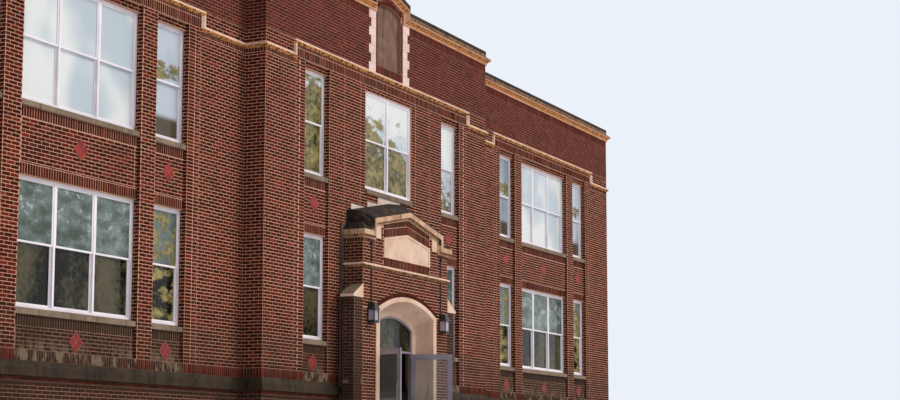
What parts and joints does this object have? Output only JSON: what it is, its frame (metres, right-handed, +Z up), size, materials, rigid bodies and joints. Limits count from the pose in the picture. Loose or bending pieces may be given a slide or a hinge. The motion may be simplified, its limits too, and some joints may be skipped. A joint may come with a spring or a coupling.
{
  "type": "elementary school building",
  "caption": "Hollow two-storey brick school on a raised basement, with forward centre block, arched gabled porch and double doors that swing.",
  "frame": {"origin": "on the ground at the middle of the plan, on the centre line of the porch", "axes": "+X along the front to the right as seen from outside, +Y from front to back, +Z up"},
  "size_m": [31.92, 17.3725, 11.2706],
  "materials": {
    "brick": "fired brick in pale mortar",
    "limestone": "tooled cast stone",
    "stained_stone": "weather-stained cast stone",
    "dark_coping": "weather-blackened stone",
    "concrete": "floated concrete",
    "roofing": "mineral felt",
    "stucco": "rendered and weathered",
    "red_tile": "satin glazed tile",
    "white_paint": "painted",
    "window_glass": "clear glass",
    "door_metal": "satin paint",
    "black_metal": "satin paint",
    "milk_glass": "milky glass",
    "pipe_metal": "weathered paint"
  },
  "bodies": {
    "building": {"arch_surround": "limestone", "basement_back": "brick", "basement_front": "brick", "bay_panels_front": "brick", "bay_panels_sides": "brick", "buttress_caps": "limestone", "centre_wall_left": "brick", "centre_wall_over": "brick", "centre_wall_right": "brick", "coping_centre": "dark_coping", "coping_wings": "dark_coping", "cornice_centre": "limestone", "cornice_wings": "limestone", "door_frame": "door_metal", "downspouts": "pipe_metal", "end_wall_left": "brick", "end_wall_right": "brick", "entrance_step": "stained_stone", "fanlight_glass": "window_glass", "first_floor": "concrete", "ground_slab": "concrete", "lantern_bodies": "black_metal", "lantern_conduits": "black_metal", "lantern_lenses": "milk_glass", "name_stone": "limestone", "niche_panel": "stucco", "niche_quoins": "limestone", "parapet_wall_left": "brick", "parapet_wall_right": "brick", "porch_coping": "limestone", "porch_flashing": "pipe_metal", "porch_gable_wall": "brick", "porch_kneelers": "limestone", "porch_piers": "brick", "rear_wall_centre": "brick", "rear_wall_left": "brick", "rear_wall_right": "brick", "roof_slab": "roofing", "spandrel_tiles": "red_tile", "string_course": "limestone", "upper_floor": "concrete", "water_table": "stained_stone", "window_frames_front": "white_paint", "window_frames_sides": "white_paint", "window_glass_front": "window_glass", "window_glass_sides": "window_glass", "window_sills": "stained_stone", "wing_wall_left": "brick", "wing_wall_right": "brick"},
    "door_left": {"door_left": "door_metal", "door_left_glass": "window_glass"},
    "door_right": {"door_right": "door_metal", "door_right_glass": "window_glass"}
  },
  "joints": [
    {"name": "door_left_hinge", "type": "hinge", "parent": "building", "child": "door_left", "pos_m": [-1, -8.199, 1.23], "axis": [0, 0, 1], "range_deg": [0, 110]},
    {"name": "door_right_hinge", "type": "hinge", "parent": "building", "child": "door_right", "pos_m": [1, -8.199, 1.23], "axis": [0, 0, 1], "range_deg": [-110, 0]}
  ]
}
